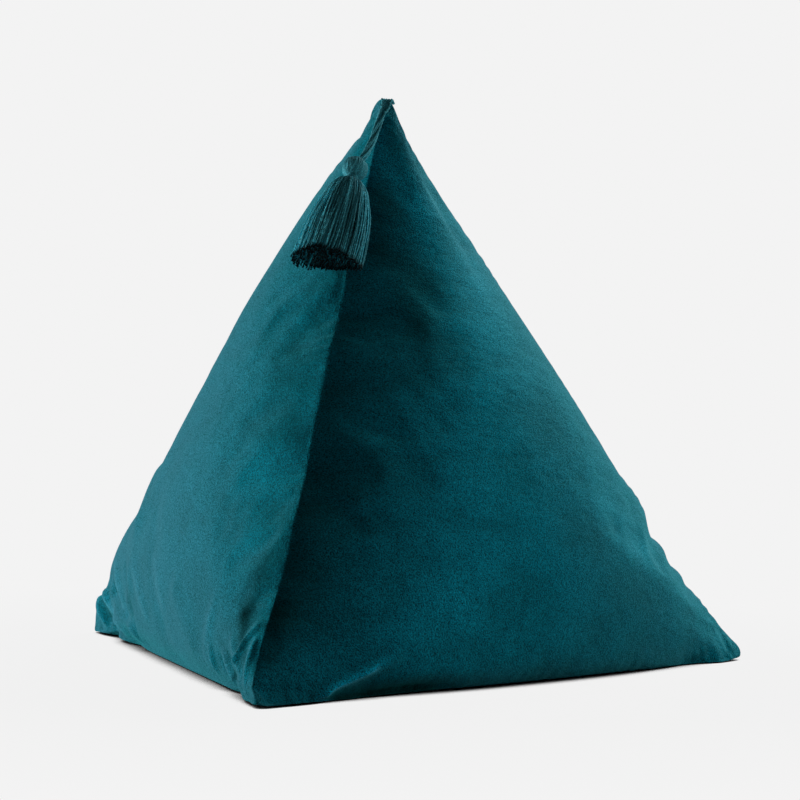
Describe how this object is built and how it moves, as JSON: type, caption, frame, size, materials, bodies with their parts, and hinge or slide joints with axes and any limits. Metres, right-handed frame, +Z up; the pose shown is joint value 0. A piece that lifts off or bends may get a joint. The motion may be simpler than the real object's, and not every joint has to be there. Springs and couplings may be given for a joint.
{
  "type": "pyramid throw pillow",
  "caption": "Plump triangular pyramid throw pillow of velvet panels sewn edge to edge, standing on its base, with a yarn tassel hanging on a short cord from its top corner.",
  "frame": {"origin": "on the floor, under the middle of the triangular base", "axes": "+Z up; the front corner points along -Y, the left corner towards -X and the right corner towards +X, so +X runs along the back base seam"},
  "size_m": [0.451, 0.4004, 0.3606],
  "materials": {
    "velvet": "short-pile teal velvet",
    "tassel_yarn": "matte twisted teal yarn"
  },
  "bodies": {
    "root": {"cushion": "velvet", "tassel_cord": "tassel_yarn", "tassel_ball": "tassel_yarn", "tassel_skirt": "tassel_yarn"}
  },
  "joints": []
}
